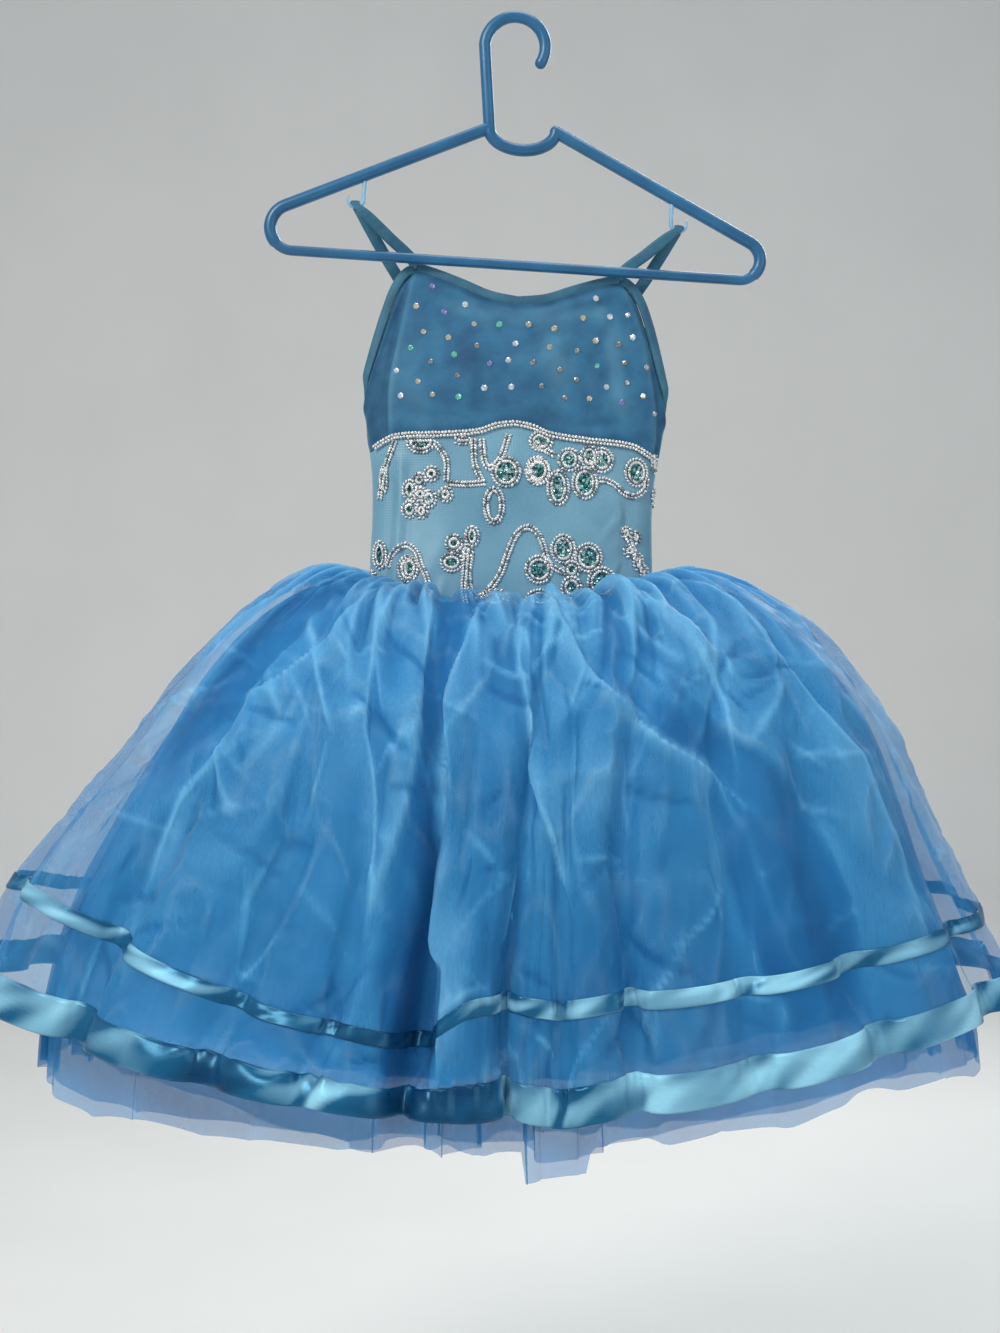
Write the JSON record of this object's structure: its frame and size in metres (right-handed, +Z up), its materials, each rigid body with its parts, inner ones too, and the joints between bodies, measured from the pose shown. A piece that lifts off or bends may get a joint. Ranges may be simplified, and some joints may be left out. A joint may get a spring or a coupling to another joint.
{
  "type": "ballet tutu on a hanger",
  "caption": "Child's blue ballet tutu with velvet yoke, beaded midriff and long organza skirt over tulle, hung by its straps from a blue plastic hanger.",
  "frame": {"origin": "inner top of the hanger's hook, where a rail or a wall hook bears", "axes": "+X towards the right of the picture (the wearer's left), -Y out of the garment's front, +Z up"},
  "size_m": [0.8576, 0.4371, 0.9311],
  "materials": {
    "hanger_plastic": "moulded blue plastic, soft gloss",
    "blue_velvet": "short velvet pile with a pale edge sheen",
    "binding_tape": "velvet tape, matt with a soft sheen",
    "pale_satin": "pale blue satin under fine mesh",
    "silver_beads": "silver lined glass beads, bright",
    "organza": "crisp sheer organza, pearly",
    "blue_tulle": "soft see-through tulle, matt",
    "satin_ribbon": "satin ribbon, bright streaked gloss"
  },
  "bodies": {
    "root": {"hanger": "hanger_plastic", "strap_left": "binding_tape", "strap_right": "binding_tape", "bodice_front": "blue_velvet", "bodice_back": "blue_velvet", "neck_binding_front": "binding_tape", "neck_binding_back": "binding_tape", "armhole_binding_left": "binding_tape", "armhole_binding_right": "binding_tape", "bust_trim": "silver_beads", "midriff_front": "pale_satin", "midriff_back": "pale_satin", "overskirt": "organza", "tulle_outer": "blue_tulle", "tulle_inner": "blue_tulle", "ribbon_narrow": "satin_ribbon", "ribbon_wide": "satin_ribbon", "applique_upper_left": "silver_beads", "applique_top_edge": "silver_beads", "applique_upper_right": "silver_beads", "applique_left_side": "silver_beads", "applique_lower_left": "silver_beads", "applique_lower_middle": "silver_beads", "applique_waist_edge": "silver_beads", "applique_lower_right": "silver_beads"}
  },
  "joints": []
}
